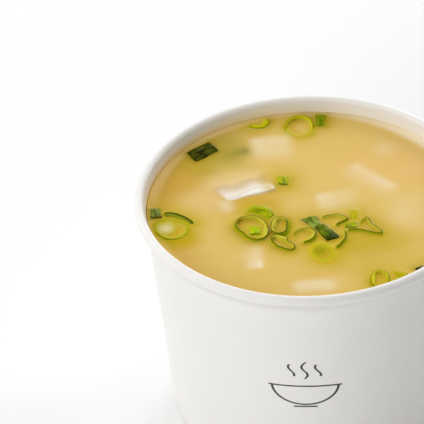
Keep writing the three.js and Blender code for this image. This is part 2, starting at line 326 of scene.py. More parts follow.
# the paper cup
cup = {
    "rimWidth": 2.5, "rimDepth": 3, "baseRadius": 37.2, "shoulderRadius": 42.5, "paper": 0.4,
    "floorHeight": 8, "floorRound": 0.9, "foldHeight": 6.4, "footRound": 0.25, "gap": 0.3, "tuck": 0.3,
    "steps": 288, "wallRows": 14, "rimRows": 36, "rimArc": (-112, 180),
    "floorRows": (12, 24), "bendRows": (6, 8),
    "unevenRound": 0.15, "ovalAt": 0.6, "unevenRim": 0.12, "rimWaves": ((0.6, 3, 1.1), (0.4, 5, 0)),
}
paperLook = {
    **tones(board=(240, 238, 234), dull=(226, 222, 214), ink=(56, 55, 54), stain=(246, 216, 132)),
    "fibre": 0.35, "cockle": 9,  # from fibre to fibre, and from one slow wave of the board to the next
    "fibreShare": 0.05, "cockleShare": 0.06,  # of the dull tone
    "inside": (0.1, 0.3),  # only what lies this close to the inner face takes the stain and the painted glow
    "stainReach": 3.8, "stainFoot": (-2, -1),  # how far over the soup it goes, and under it where it starts
    "stainLeft": (-22, 32), "stainLeast": 0.2, "stainMore": 0.7,  # more of it further left, along -x; there it is painted light, the soup's yellow glow on the inner wall
    "fibreHeight": 0.4, "cockleHeight": 0.6, "relief": 0.05, "bump": 0.35, "rough": 0.38, "rougher": 0.1,
}
motif = {
    "angle": -3.1, "height": 33, "line": 0.21, "blur": 0.07, "bowl": (8.6, 6.4), "brim": 9.5,
    "foot": 3.1, "footGap": 0.75, "steam": (2.6, 8.4),  # from where to where up the steam goes
    "plumes": ((-3.4, 0.9), (0, 0), (3.4, 0.9)),  # where each stands, and by how much it is shorter
    "sway": 0.75, "swayPace": 1.15, "swayThin": 0.8, "wallHeight": 20, "wallBand": (-0.6, -0.5),
}
shoulderHeight = cupHeight - cup["rimDepth"]


def wallOutside(z):
    return cup["baseRadius"] + (cup["shoulderRadius"] - cup["baseRadius"]) / shoulderHeight * z


def wallInside(z):
    return wallOutside(z) - cup["paper"]


def cupWobble(angle, height):
    # a paper cup in use is never quite round, and its rim never quite level
    share = (height / cupHeight) ** 2
    outOfRound = cup["unevenRound"] * math.cos(2 * angle + cup["ovalAt"])
    rise = sum(part * math.cos(times * angle + start) for part, times, start in cup["rimWaves"]) - 1
    return outOfRound * share, cup["unevenRim"] * rise * share


def paperFinish():
    # coated board: faint fibre and cockle, with a line print of a steaming bowl on the front
    look = paperLook
    paper = Finish("coatedPaper", IOR=1.45)
    place = paper.position()
    x, y, z = paper.axes(place)
    fibre = paper.noise(place, look["fibre"], 3)
    cockle = paper.noise(place, look["cockle"], 2)
    tone = paper.mix(fibre * look["fibreShare"] + cockle * look["cockleShare"], look["board"], look["dull"])
    radius = paper.value("SQRT", x * x + y * y)
    inside = 1 - paper.fade(radius - wallInside(z), *look["inside"])
    # a soup stain up the inner wall, and painted light: the extra share further left is painted soup-yellow
    # glow on the paper
    wet = 1 - paper.fade(z + cockle, soupLevel, soupLevel + look["stainReach"])
    wet = wet * paper.fade(z - soupLevel, *look["stainFoot"])
    more = paper.fade(x * -1, *look["stainLeft"]) * look["stainMore"]
    tone = paper.mix(wet * inside * (more + look["stainLeast"]), tone, look["stain"])
    tone = paper.mix(printMask(paper, x, y, z, radius), tone, look["ink"])
    height = fibre * look["fibreHeight"] + cockle * look["cockleHeight"]
    return paper.dress(tone, height, fibre, look)


def printMask(paper, x, y, z, radius):
    # u across and v up from the middle of the print, in millimetres on the wall
    turn = paper.value("ARCTAN2", x, y * -1) - math.radians(motif["angle"])
    u = turn * wallOutside(motif["height"])
    v = z - motif["height"]
    line, blur = motif["line"], motif["blur"]
    wide, deep = motif["bowl"]
    low, high = motif["steam"]
    far = lambda value: paper.value("ABSOLUTE", value)
    stroke = lambda distance: 1 - paper.fade(distance, line, line + blur)

    def within(value, low, high):
        return paper.fade(value, low - blur, low) * (1 - paper.fade(value, high, high + blur))

    ratio = paper.value("SQRT", (u / wide) ** 2 + (v / deep) ** 2)
    strokes = [
        stroke(far(ratio - 1) * deep) * within(v, -deep - 1, 0),
        stroke(far(v)) * within(far(u), -1, motif["brim"]),
        stroke(far(v + deep + motif["footGap"])) * within(far(u), -1, motif["foot"]),
    ]
    for middle, shorter in motif["plumes"]:
        sway = paper.value("SINE", (v - low) * motif["swayPace"]) * motif["sway"]
        plume = stroke(far(u - middle - sway) * motif["swayThin"])
        strokes.append(plume * within(v, low + shorter, high - shorter))
    mask = strokes[0]
    for drawn in strokes[1:]:
        mask = paper.value("MAXIMUM", mask, drawn)
    outside = paper.fade(radius - wallOutside(motif["wallHeight"]), *motif["wallBand"])
    return mask * outside * paper.fade(y * -1, 0, 1)


def makeCup():
    paper = paperFinish()
    gap, thick = cup["gap"], cup["paper"]
    rollR, rollZ = rimRadius - cup["rimWidth"] / 2, cupHeight - cup["rimDepth"] / 2
    foldOutside = lambda z: wallInside(z) - thick - 2 * gap
    foldInside = lambda z: foldOutside(z) - thick
    heights = np.linspace(cup["footRound"], shoulderHeight + cup["tuck"], cup["wallRows"])
    wall = [
        (foldInside(0) + cup["footRound"], 0),
        (cup["baseRadius"] - cup["footRound"], 0),
        *[(wallOutside(z), z) for z in heights],
        *arc(rollR, rollZ, cup["rimWidth"] / 2, cup["rimDepth"] / 2, *cup["rimArc"], cup["rimRows"]),
        *[(wallInside(z), z) for z in np.linspace(shoulderHeight, thick, cup["wallRows"])],
        (foldOutside(thick), thick),
        (foldOutside(cup["foldHeight"]), cup["foldHeight"]),
        (foldInside(cup["foldHeight"]), cup["foldHeight"]),
        (foldInside(cup["footRound"]), cup["footRound"]),
    ]
    makePiece("cupWall", *turned(wall, cup["steps"], cupWobble), paper, "cup_paper", ["cup_wall"])

    skirtOutside = lambda z: wallInside(z) - gap
    bendZ = cup["floorHeight"] - cup["floorRound"]
    bendR = skirtOutside(bendZ) - cup["floorRound"]
    innerRound = cup["floorRound"] - thick
    innerRows, outerRows = cup["bendRows"]
    foot = thick + gap
    floor = [
        (0, cup["floorHeight"] - thick),
        *[(r, cup["floorHeight"] - thick) for r in cup["floorRows"]],
        *arc(bendR, bendZ, innerRound, innerRound, 90, 0, innerRows),
        (skirtOutside(foot) - thick, foot),
        (skirtOutside(foot), foot),
        *arc(bendR, bendZ, cup["floorRound"], cup["floorRound"], 0, 90, outerRows),
        (0, cup["floorHeight"]),
    ]
    makePiece("cupFloor", *turned(floor, cup["steps"]), paper, "cup_paper", ["cup_floor"])


makeCup()
print("cup made")


# spring onion
# edge: the dark line round a cut. skin: the outside. flesh, inner and heart: the cut face, from the skin
# inwards. wet: seen through the soup
kinds = {
    "dark": {"slot": "onion_leaf", **tones(edge=(52, 54, 0), wet=(150, 136, 30))},
    "bright": {"slot": "onion_green", **tones(
        edge=(100, 100, 0), skin=(156, 168, 0), flesh=(186, 186, 24), inner=(204, 194, 60),
        wet=(158, 160, 0),
    )},
    "yellow": {"slot": "onion_yellow", **tones(
        edge=(148, 140, 0), skin=(178, 170, 2), flesh=(192, 188, 2), inner=(206, 196, 36),
        wet=(178, 172, 2),
    )},
    "pale": {"slot": "onion_white", **tones(
        edge=(134, 128, 0), skin=(166, 160, 2), flesh=(178, 172, 10), inner=(204, 192, 64),
        heart=(224, 210, 148), wet=(166, 162, 10),
    )},
    "sunk": {"slot": "onion_yellow", **tones(
        edge=(132, 120, 0), skin=(168, 160, 0), flesh=(192, 184, 0), inner=(154, 148, 0),
        wet=(198, 186, 20),
    )},
}
deepTones = tones(edge=(82, 86, 0), skin=(128, 136, 0), flesh=(150, 158, 34), inner=(178, 182, 74))
# of the flat pieces: light veins on a darker ground. rim: how strong their dark edge is. edge: its kind
leafTones = {
    "dark": {**tones(light=(88, 92, 8), ground=(22, 24, 0)), "edge": "dark"},
    "dull": {**tones(light=(152, 162, 70), ground=(84, 96, 24)), "rim": 0.35},
    "green": tones(light=(150, 162, 10), ground=(98, 114, 0)),
    "bright": tones(light=(186, 194, 0), ground=(122, 134, 0)),
    "lime": tones(light=(186, 208, 0), ground=(150, 172, 0)),
    "yellow": {**tones(light=(196, 186, 10), ground=(176, 164, 0)), "edge": "yellow"},
    "creasedPale": {**tones(light=(158, 176, 72), ground=(88, 106, 8)), "edge": "dark"},
    "creasedDark": {**tones(light=(116, 134, 4), ground=(60, 78, 0), tip=(30, 44, 0)), "edge": "dark"},
}
onionGloss = {"IOR": 1.12, "Specular_IOR_Level": 0.3}
skinDepth = 0.29  # how far the dark skin reaches in from the outside of a slice
sliceLook = {
    "blotch": 0.9, "fine": 0.22, "innerFades": (0.45, 1.0), "heartFades": (1.05, 1.35),
    "veinFades": (0.45, 0.8), "veinShare": 0.35, "skinFades": (0.6 * skinDepth, 1.7 * skinDepth),
    "edgeFades": (0.88, 0.97),  # the outside darkens towards the upper cut
    "innerWander": 0.4, "heartWander": 0.3, "skinWander": 0.12,  # how far the blotches shift these lines
    "relief": 0.06, "bump": 0.5, "rough": 0.3, "rougher": 0.2,
}
leafLook = {
    "along": 0.25, "across": 2.2,  # how the veins are drawn out
    "streak": 0.8, "blotch": 1.6, "streakShare": 0.7, "blotchShare": 0.3, "lightFades": (0.38, 0.62),
    "veinFades": (0.5, 1.0), "veinShare": 0.7, "tipFades": (0.4, 2.6), "tipShare": 0.8,
    "rimFades": (0.05, 0.3), "rimWander": 0.2, "rim": 0.75,
    "blotchHeight": 0.5, "relief": 0.09, "bump": 0.6, "rough": 0.34, "rougher": 0.2,
}
bandLook = {  # the wall of a ring or strip
    "steps": 28, "squareness": 0.34, "waves": 1.6, "unevenWall": 0.25, "unevenTop": 0.1,
    "endRows": 3, "endLeast": 0.05, "grainStep": 0.2,
}
coreLook = {  # the inner layers of a slice
    "steps": 60, "rows": 14, "bevelRows": 5, "bevel": 0.25, "crown": 0.12, "lower": 0.1,
    "wander": (1.5, 1), "wanderSeed": 70, "layer": 1.15, "layerMiddle": 0.72, "layerSwing": 0.3,
    "layerWander": 0.2, "rays": 9, "raySwing": 0.1, "rayWander": 3,
    "heartRise": 1.75, "heartFall": 1.8, "heartMost": 0.9, "grain": (2.2, 0.35), "uneven": (1.2, 0.08),
}
flatLook = {  # flat pieces
    "rows": 48, "halfColumns": 20, "uneven": (1.9, 0.16), "unevenUp": 1.3,
    "veinPace": 7, "veinSway": 0.8, "swayPace": 1.1, "veinHeight": 0.025,
}
lendLook = {"innerFades": (0.4, 0.9), "innerShare": 0.6, "heartFades": (0.85, 1.45)}

# at: the middle of the upper cut seen from above. lift: the middle over the soup. lean: degrees about x, y
# shear: how far the lower cut lies from the upper one, for slices that were cut aslant
# oval, three, four: how far the outline swings two, three or four times round, and where it is widest
# thick: where a wall has more layers: how much more, at which angle, over how many degrees
ringSlices = {
    "ring_large": {
        "kind": "bright", "at": (-14.45, -9.3), "lift": -0.15, "lean": (1.5, 0), "shear": (-0.3, -0.2),
        "radius": 4.55, "oval": (0.82, -60), "three": (0.21, 46),
        "wall": 0.5, "thick": (0.9, -30, 32), "height": 1.9,
    },
    "ring_round": {
        "kind": "bright", "at": (-7.75, -9), "lift": 0, "lean": (0, 2), "shear": (1.4, -0.1),
        "radius": 2.9, "oval": (0.76, 86), "three": (0.06, -38),
        "wall": 0.5, "thick": (0.5, 140, 50), "height": 1.9,
    },
    "ring_boat": {
        "kind": "bright", "at": (-6.95, -15.85), "lift": -0.2, "lean": (2, 0), "shear": (0, -0.4),
        "radius": 2.7, "oval": (0.94, -50), "three": (0.22, -40), "four": (0.29, -40),
        "wall": 0.45, "thick": (0.8, 80, 30), "height": 1.7,
    },
    "ring_open": {
        "kind": "bright", "at": (-1.2, -13.1), "lift": -0.15, "lean": (0, -2), "shear": (0.1, -0.3),
        "radius": 3.0, "oval": (0.16, 47), "ends": (-100, 172),
        "wall": 0.5, "thick": (0.9, -40, 50), "height": 1.6,
    },
    "ring_far": {
        "kind": "yellow", "at": (-1.75, 35.1), "lift": -0.75, "lean": (10, 0), "shear": (0, -0.2),
        "radius": 4.26, "oval": (0.29, -82), "three": (0.14, -54), "wall": 0.7, "height": 2.4,
    },
    "ring_front": {
        "kind": "yellow", "at": (17.5, -32.25), "lift": -0.25, "lean": (1, 2), "shear": (0, -0.3),
        "radius": 2.95, "oval": (0.5, 86), "wall": 0.6, "thick": (0.8, 180, 50), "height": 1.7,
    },
    "ring_sunken": {
        "kind": "sunk", "at": (3.3, -20), "lift": -1.0, "shear": (0.2, -0.4),
        "radius": 3.6, "oval": (0.5, -73),
        "wall": 1.1, "height": 2, "core": {"at": (-0.7, 0.5), "radius": 2.3},
    },
    "slice_pale": {
        "kind": "pale", "at": (-35.6, -8.6), "lift": -0.9, "lean": (-1, 1), "shear": (0.2, -0.4),
        "radius": 4.6, "oval": (0.32, -31), "three": (0.19, 21),
        "wall": 1.3, "height": 2.2, "core": {"at": (-1.4, 0.4), "radius": 2.5},
    },
}
openSlices = {
    "loop_long": {
        "kind": "bright", "at": (6.8, -6.9), "lift": -0.15, "wall": 0.45, "height": 1.5, "shear": (0, -0.3),
        "points": [
            (0.3, -2.4), (1.5, -1.2), (2.8, -0.4), (3.5, 0.5), (2.6, 1.4),
            (1.6, 2.2), (0.3, 2.6), (-1, 2.3), (-2.3, 2), (-3.5, 1.5),
        ],
    },
    "loop_three_sided": {
        "kind": "bright", "at": (14.8, -10.7), "lift": -0.15,
        "wall": 0.45, "height": 1.5, "shear": (0.1, -0.4),
        "points": [
            (-4.9, -0.8), (-4.3, -0.6), (-3, -0.6), (-1.2, -0.9), (0.3, -1.6), (1.8, -2.2),
            (3.6, -2.6), (4, -1.9), (3.6, -0.7), (2.7, 0.4), (1.7, 1.5), (1.2, 2.8),
            (0.7, 4.2), (0, 4.7), (-0.9, 3.6), (-1.7, 2.5),
        ],
    },
    "arc_right": {
        "kind": "bright", "at": (7.9, -16), "lift": -0.15, "wall": 0.6, "height": 1.6, "shear": (0.4, -0.3),
        "points": [
            (-1.1, -2.7), (-0.7, -2.5), (-0.1, -1.8), (0.5, -0.8),
            (1.3, 0.6), (1.6, 1.8), (1.6, 3), (1.4, 4.3),
        ],
    },
    "strip_left": {
        "kind": "bright", "tone": "deep", "at": (-33.4, -2.5), "lift": -0.1, "lean": (4, 0), "wall": 1.4,
        "height": 1.1, "skin": 0.8,
        "points": [
            (3.95, -4), (3.5, -3), (2.6, -1.9), (1.2, -0.6),
            (-0.4, 0.4), (-2, 1), (-3.3, 1.1), (-4.2, 0.7),
        ],
    },
    "crescent_far": {
        "kind": "yellow", "at": (-11.9, 36.5), "lift": -0.1, "lean": (3, 0), "wall": 1.5, "height": 1.1,
        "points": [
            (-3.5, -0.4), (-3, -1.1), (-1.2, -1.6), (0.5, -1.4),
            (1.5, -0.5), (2.2, 0.6), (2.1, 1.8), (1.6, 2.7),
        ],
    },
}
leafPieces = {
    "leaf_roll_far": {
        "kind": "dark", "at": (-27.4, 25), "lift": 0.25, "turn": 38, "lean": (6, 2),
        "size": (7.6, 5.2, 1), "curl": 0.5, "slant": 0.6,
    },
    "leaf_square_far": {
        "kind": "dark", "tone": "green", "at": (3.95, 37.7), "lift": 0, "turn": 89, "lean": (3, -4),
        "size": (5.3, 2.7, 0.6), "curl": 0.2,
    },
    "chip_middle": {
        "kind": "bright", "at": (-6.3, 11.2), "lift": 0.1, "turn": 92, "lean": (8, 4),
        "veins": 0.5, "size": (3.8, 2.9, 0.6), "curl": 0.15, "slant": 0.7,
    },
    "chip_at_wall": {
        "kind": "dark", "tone": "dull", "at": (-39.7, -1.6), "lift": 0.1, "turn": 96, "lean": (0, 5),
        "size": (4.3, 2.8, 0.7), "curl": 0.2,
    },
    "chip_bright": {
        "kind": "bright", "tone": "lime", "at": (-13.8, -10.2), "lift": -0.1, "turn": 93, "lean": (4, 8),
        "veins": 0.5, "size": (3.6, 2.7, 0.8), "curl": 0.2,
    },
    "leaf_curl": {
        "kind": "bright", "at": (-12, -1.9), "lift": 0.15, "turn": -32, "lean": (10, 0),
        "size": (6.9, 3.8, 0.7), "curl": 0.4, "bend": -1.5,
    },
    "chip_right": {
        "kind": "bright", "at": (10.8, -8.85), "lift": 0, "turn": 8, "lean": (-6, 0),
        "veins": 0.5, "size": (3, 2.5, 0.6), "curl": 0.15, "slant": 0.4, "taper": -0.3,
    },
    "chip_yellow": {
        "kind": "yellow", "at": (11.8, -4.3), "lift": -0.15, "turn": 92, "lean": (3, 3),
        "veins": 0.5, "size": (3.9, 2.1, 0.6),
    },
    "chip_front": {
        "kind": "yellow", "at": (23.1, -30.6), "lift": -0.05, "turn": -20, "lean": (3, 0),
        "veins": 0.5, "size": (3, 2.2, 0.6), "curl": 0.1, "taper": 0.27, "slant": -1.3,
    },
    "chip_front_edge": {
        "kind": "dark", "at": (28.1, -28.2), "lift": 0.1, "turn": 30, "lean": (0, 4),
        "size": (2.6, 1.5, 0.5), "curl": 0.1,
    },
}
creasedLeaf = {  # two stretches of one leaf that fold over each other
    "kind": "dark", "at": (2.8, -9.8), "lift": 0.3, "seed": 40,
    "stretches": {
        "leaf_creased_pale": {
            "tone": "creasedPale", "at": (-1.72, 2.28), "turn": -61, "lean": (6, 2), "veins": 0.55,
            "size": (4.65, 3.26, 0.6), "curl": 0.25, "taper": 0.63, "slant": 1.6,
        },
        "leaf_creased_dark": {
            "tone": "creasedDark", "at": (1.8, -2.1), "turn": 123, "lean": (4, -2), "veins": 0.7,
            "size": (6.7, 3.4, 0.6), "curl": 0.25, "taper": 0.4, "slant": 0.8,
        },
    },
}
ringSteps = 120
openSteps = 90


def roundedSection(steps, squareness):
    # a square with round corners, from -1 to 1 both ways
    angles = (np.arange(steps) + 0.5) * math.tau / steps
    square = lambda wave: np.sign(wave) * np.abs(wave) ** squareness
    return np.stack([square(np.cos(angles)), square(np.sin(angles))], 1)


def inwardOf(tangents):
    # across a line that runs these ways, to its left
    tangents = tangents / np.linalg.norm(tangents, axis=1)[:, None]
    return np.stack([-tangents[:, 1], tangents[:, 0]], 1)


def bandMesh(skin, inward, piece, closed, seed, extra=0):
    # a band as high as the slice is thick, between its skin line and the wall's thickness further in
    look = bandLook
    section = roundedSection(look["steps"], look["squareness"])
    wall, height = piece["wall"], piece["height"]
    shear = np.array(piece.get("shear", (0, 0)))
    count = len(skin)
    waves = unevenness(np.column_stack([skin, np.zeros(count)]), look["waves"], 1, seed)
    walls = wall * (1 + look["unevenWall"] * waves[:, 0]) + extra
    tops = look["unevenTop"] * waves[:, 1]
    corners, insets, levels = [], [], []
    for i in range(count):
        ends = 1.0
        if not closed:  # the cut ends are rounded off
            reach = min(i, count - 1 - i) / look["endRows"]
            ends = math.sqrt(max(look["endLeast"], 1 - (1 - min(1, reach)) ** 2))
        across = 0.5 + 0.5 * section[:, 0] * ends
        level = 0.5 * section[:, 1] * ends
        for share, up in zip(across, level):
            plan = skin[i] + inward[i] * walls[i] * share - shear * (up - 0.5)
            corners.append((plan[0], plan[1], up * height + tops[i] * (up + 0.5)))
            insets.append(share * walls[i])
            levels.append(up + 0.5)
    faces = stripFaces(count, look["steps"], rowsClose=closed, capped=not closed)
    insets = np.array(insets) * skinDepth / piece.get("skin", skinDepth)
    along = np.repeat(np.arange(count) * look["grainStep"], look["steps"])
    values = {
        "inset": insets, "core": insets / wall, "level": levels,
        "grain": np.stack([along, insets, np.array(levels) * height], 1),
    }
    return corners, outward(corners, faces), values


def ringMesh(piece, seed):
    start, end = piece.get("ends", (0, 360))
    closed = end - start >= 360
    steps = ringSteps if closed else math.ceil(ringSteps * (end - start) / 360)
    angles = np.linspace(start, end, steps, endpoint=not closed)

    def skinAt(degrees):
        radius = piece["radius"]
        for waves, label in ((2, "oval"), (3, "three"), (4, "four")):
            swing, turn = piece.get(label, (0, 0))
            radius = radius + swing * np.cos(waves * np.radians(degrees - turn))
        return np.stack([np.cos(np.radians(degrees)), np.sin(np.radians(degrees))], 1) * radius[:, None]

    inward = inwardOf(skinAt(angles + 1) - skinAt(angles - 1))
    extra, middle, width = piece.get("thick", (0, 0, 1))
    away = (angles - middle + 180) % 360 - 180
    band = bandMesh(skinAt(angles), inward, piece, closed, seed, extra * np.exp(-(away / width) ** 2))
    return joined(band, coreMesh(piece, seed)) if "core" in piece else band


def joined(first, second):
    # two closed meshes with the same attributes as one
    corners, faces, values = first
    moreCorners, moreFaces, moreValues = second
    faces = faces + [tuple(len(corners) + i for i in face) for face in moreFaces]
    values = {label: np.concatenate([values[label], moreValues[label]]) for label in values}
    return corners + moreCorners, faces, values


def coreMesh(piece, seed):
    # the inner layers of a slice: a low round pillow, its layers shown by the core attribute
    look = coreLook
    radius, half = piece["core"]["radius"], (piece["height"] - look["lower"]) / 2
    bevel, crown = look["bevel"], look["crown"]
    top = [(r, half - crown * (r / radius) ** 2) for r in np.linspace(0, radius - bevel, look["rows"])]
    side = arc(radius - bevel, half - crown - bevel, bevel, bevel, 90, 0, look["bevelRows"])[1:]
    profile = [*top, *side, (radius, bevel - half), (radius - bevel, -half), (0, -half)]
    corners, faces = turned(profile, look["steps"])
    faces = outward(corners, faces)
    corners = np.array(corners)
    reach, angle = np.hypot(corners[:, 0], corners[:, 1]), np.arctan2(corners[:, 1], corners[:, 0])
    wander = unevenness(corners, *look["wander"], seed + look["wanderSeed"])[:, 0]
    rounds = (reach + look["layerWander"] * wander) / look["layer"]
    layers = look["layerMiddle"] + look["layerSwing"] * np.cos(math.tau * rounds)
    layers += look["raySwing"] * np.cos(look["rays"] * angle + look["rayWander"] * wander)
    heart = np.clip(look["heartRise"] - look["heartFall"] * reach / radius, 0, look["heartMost"])
    aroundGrain, outGrain = look["grain"]
    values = {
        "inset": radius - reach + skinDepth * 1.5, "core": layers + heart,
        "level": corners[:, 2] / half / 2 + 0.5,
        "grain": np.stack([angle * aroundGrain, reach * outGrain, corners[:, 2]], 1),
    }
    corners += unevenness(corners, *look["uneven"], seed) + (*piece["core"]["at"], 0)
    return corners.tolist(), faces, values


def smoothLine(points, steps, between=24):
    # an evenly stepped curve through the points, worked out at so many places between each two
    points = np.array(points, float)
    padded = np.concatenate([points[:1], points, points[-1:]])
    fine = []
    for i in range(len(points) - 1):
        a, b, c, d = padded[i:i + 4]
        for t in np.linspace(0, 1, between, endpoint=False):
            into, out = (c - a) / 2, (d - b) / 2
            fine.append((2 * t ** 3 - 3 * t ** 2 + 1) * b + (t ** 3 - 2 * t ** 2 + t) * into
                        + (3 * t ** 2 - 2 * t ** 3) * c + (t ** 3 - t ** 2) * out)
    fine = np.array([*fine, points[-1]])
    gone = np.concatenate([[0], np.cumsum(np.linalg.norm(np.diff(fine, axis=0), axis=1))])
    even = np.linspace(0, gone[-1], steps)
    return np.stack([np.interp(even, gone, fine[:, k]) for k in (0, 1)], 1)


def openMesh(piece, seed):
    line = smoothLine(piece["points"], openSteps)
    return bandMesh(line, inwardOf(np.gradient(line, axis=0)), piece, False, seed)


def leafMesh(leaf, seed):
    # a flat piece of leaf: curled across, bent in its plane, tapered, and cut aslant at its start
    look = flatLook
    length, width, thick = leaf["size"]
    curl, bend = leaf.get("curl", 0), leaf.get("bend", 0)
    taper, slant = leaf.get("taper", 0), leaf.get("slant", 0)
    rows, halfColumns = look["rows"], look["halfColumns"]
    edge = np.sin(np.linspace(-math.pi / 2, math.pi / 2, halfColumns))
    across = np.concatenate([edge, edge[::-1][1:-1]]) / 2
    face = np.concatenate([np.ones(halfColumns), -np.ones(halfColumns - 2)])
    rounding = lambda away, whole: 1 - (max(0, away - (whole - thick) / 2) / (thick / 2)) ** 2
    corners, grain = [], []
    for u in np.sin(np.linspace(-math.pi / 2, math.pi / 2, rows)) / 2:
        endRound = rounding(abs(u) * length, length)
        for v, side in zip(across, face):
            sideRound = rounding(abs(v) * width, width)
            swell = math.sqrt(max(endRound, 0.02)) * math.sqrt(max(sideRound, 0.0))
            x = u * length + slant * v * (0.5 - u)
            y = v * width * (1 - taper * u) + bend * 4 * u * u
            z = side * thick / 2 * swell - curl * 4 * v * v
            corners.append((x, y, z))
            grain.append((u * length, v * width, side))
    corners, grain = np.array(corners), np.array(grain)
    corners += unevenness(corners, *look["uneven"], seed) * (1, 1, look["unevenUp"])
    sway = look["veinSway"] * np.sin(grain[:, 0] * look["swayPace"] + seed)
    veins = np.cos(grain[:, 1] * look["veinPace"] + sway)
    corners[:, 2] += look["veinHeight"] * veins * (grain[:, 2] > 0)
    count = len(across)
    faces = stripFaces(rows, count, capped=True)
    margins = np.minimum(width / 2 - np.abs(grain[:, 1]), length / 2 - np.abs(grain[:, 0]))
    values = {"grain": grain, "edge": margins, "vein": veins * leaf.get("veins", 1)}
    return corners, outward(corners, faces), values


def sliceFinish(name, kind):
    # the cut face: a thin dark skin, then flesh that pales towards the hollow, with the leaf's fine veins
    look = sliceLook
    onion = Finish("onion" + name.capitalize(), **onionGloss)
    grain = onion.attribute("grain", outlet=1)
    inset, core, level = (onion.attribute(label) for label in ("inset", "core", "level"))
    blotch = onion.noise(grain, look["blotch"], 3)
    fine = onion.noise(grain, look["fine"], 2)
    wander = blotch - 0.5
    inner = onion.fade(core + wander * look["innerWander"], *look["innerFades"])
    heart = onion.fade(core + wander * look["heartWander"], *look["heartFades"])
    veins = onion.fade(fine, *look["veinFades"]) * look["veinShare"]
    flesh = onion.mix(inner, kind["flesh"], kind["inner"])
    flesh = onion.mix(heart, flesh, kind.get("heart", kind["inner"]))
    flesh = onion.mix(veins, flesh, kind["skin"])
    skin = 1 - onion.fade(inset + wander * look["skinWander"], *look["skinFades"])
    outside = onion.mix(onion.fade(level, *look["edgeFades"]), kind["skin"], kind["edge"])
    return onion.dress(onion.mix(skin, flesh, outside), fine + blotch, blotch, look)


def leafFinish(name, tone):
    # the leaf's outside: long pale veins over waxy green, darker where it was cut
    look = leafLook
    leaf = Finish("leaf" + name[0].upper() + name[1:], **onionGloss)
    grain = leaf.attribute("grain", outlet=1)
    u, v, side = leaf.axes(grain)
    stretch = {"X": u * look["along"], "Y": v * look["across"], "Z": side}
    streak = leaf.noise(leaf.node("ShaderNodeCombineXYZ", None, stretch), look["streak"], 3, 0.6)
    blotch = leaf.noise(grain, look["blotch"], 3)
    wander = blotch - 0.5
    light = leaf.fade(streak * look["streakShare"] + blotch * look["blotchShare"], *look["lightFades"])
    shown = leaf.mix(light, tone["ground"], tone["light"])
    veins = leaf.fade(leaf.attribute("vein") + wander, *look["veinFades"])
    shown = leaf.mix(veins * look["veinShare"], shown, tone["ground"])
    if "tip" in tone:
        tip = leaf.fade(u * -1 + wander, *look["tipFades"])
        shown = leaf.mix(tip * look["tipShare"], shown, tone["tip"])
    rim = 1 - leaf.fade(leaf.attribute("edge") + wander * look["rimWander"], *look["rimFades"])
    edge = kinds[tone.get("edge", "bright")]["edge"]
    shown = leaf.mix(rim * tone.get("rim", look["rim"]), shown, edge)
    return leaf.dress(shown, streak + blotch * look["blotchHeight"], streak, look)


sliceTones = {**{name: kind for name, kind in kinds.items() if "flesh" in kind}, "deep": deepTones}
sliceFinishes = {name: sliceFinish(name, kind) for name, kind in sliceTones.items()}
leafFinishes = {name: leafFinish(name, tone) for name, tone in leafTones.items()}
floatingShapes = []  # what the soup is tinted by: corners, faces and a colour for each face


def lentTones(faces, core, kind):
    # the colour each face of a slice lends the soup over it
    wet, inner, heart = (np.array(kind.get(label, kind["inner"])[:3]) for label in ("wet", "inner", "heart"))
    depth = np.array([np.mean(np.asarray(core)[list(face)]) for face in faces])[:, None]
    share = ramped(depth, *lendLook["innerFades"]) * lendLook["innerShare"]
    middle = ramped(depth, *lendLook["heartFades"])
    return (wet * (1 - share) + inner * share) * (1 - middle) + heart * middle


def evenTones(faces, tone):
    return np.tile(np.array(tone[:3]), (len(faces), 1))


def makeOnion():
    makers = ((ringSlices, ringMesh, sliceFinishes), (openSlices, openMesh, sliceFinishes),
              (leafPieces, leafMesh, leafFinishes))
    seed = 0
    for pieces, make, finishes in makers:
        for name, shape in pieces.items():
            seed += 1
            corners, faces, values = make(shape, seed)
            corners = placed(corners, shape)
            kind, tone = kinds[shape["kind"]], shape.get("tone", shape["kind"])
            if "core" in values:
                lent = lentTones(faces, values["core"], kind)
            else:
                lent = evenTones(faces, (np.array(leafTones[tone]["light"]) + leafTones[tone]["ground"]) / 2)
            floatingShapes.append((corners, faces, lent))
            makePiece(name, corners, faces, finishes[tone], kind["slot"], ["onion_" + name], values)


def makeCreasedLeaf():
    kind = kinds[creasedLeaf["kind"]]
    for seed, (name, stretch) in enumerate(creasedLeaf["stretches"].items(), creasedLeaf["seed"]):
        corners, faces, values = leafMesh(stretch, seed)
        corners = placed(corners, stretch, creasedLeaf["lift"]) + (*creasedLeaf["at"], 0)
        floatingShapes.append((corners, faces, evenTones(faces, kind["wet"])))
        finish = leafFinishes[stretch["tone"]]
        makePiece(name, corners, faces, finish, kind["slot"], ["onion_leaf_creased"], values)


makeOnion()
makeCreasedLeaf()
print("spring onion made:", len(floatingShapes), "pieces")


